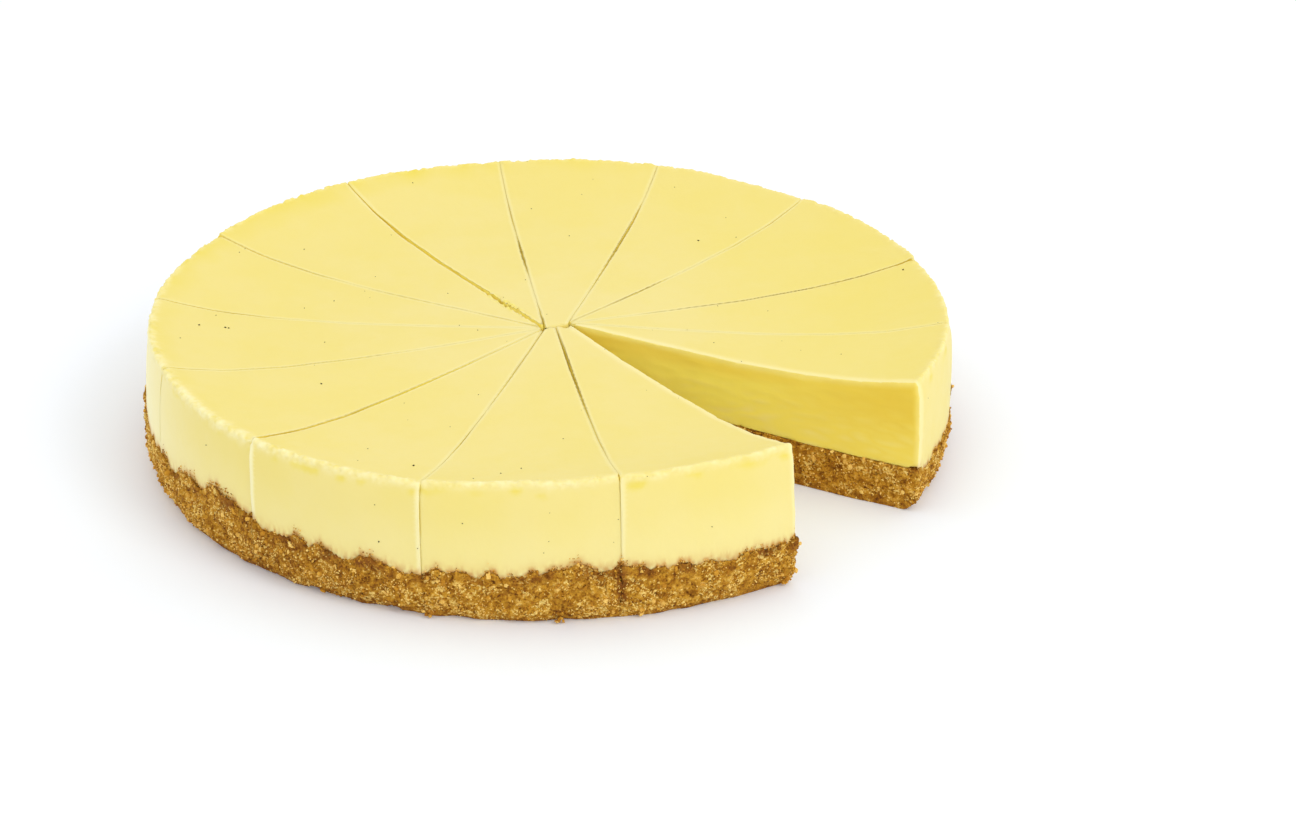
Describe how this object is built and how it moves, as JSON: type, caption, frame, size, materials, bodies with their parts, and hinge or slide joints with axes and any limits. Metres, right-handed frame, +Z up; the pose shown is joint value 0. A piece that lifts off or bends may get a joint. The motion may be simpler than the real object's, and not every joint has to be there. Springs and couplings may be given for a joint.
{
  "type": "cheesecake",
  "caption": "Round baked cheesecake with a sunken top on a crumb base, cut into wedge slices that lie in place, with a gap where a slice was taken out.",
  "frame": {"origin": "middle of the round cake on the surface that it stands on", "axes": "+Z up; -Y towards the front, with the gap to the front right between about 27 and 54 degrees below +X"},
  "size_m": [0.2517, 0.2519, 0.0455],
  "materials": {
    "filling": null,
    "crumb": null
  },
  "bodies": {
    "root": {"slice_01_base": "crumb", "slice_01_filling": "filling", "slice_02_base": "crumb", "slice_02_filling": "filling", "slice_03_base": "crumb", "slice_03_filling": "filling", "slice_04_base": "crumb", "slice_04_filling": "filling", "slice_05_base": "crumb", "slice_05_filling": "filling", "slice_06_base": "crumb", "slice_06_filling": "filling", "slice_07_base": "crumb", "slice_07_filling": "filling", "slice_08_base": "crumb", "slice_08_filling": "filling", "slice_09_base": "crumb", "slice_09_filling": "filling", "slice_10_base": "crumb", "slice_10_filling": "filling", "slice_11_base": "crumb", "slice_11_filling": "filling", "slice_12_base": "crumb", "slice_12_filling": "filling", "slice_13_base": "crumb", "slice_13_filling": "filling"}
  },
  "joints": []
}
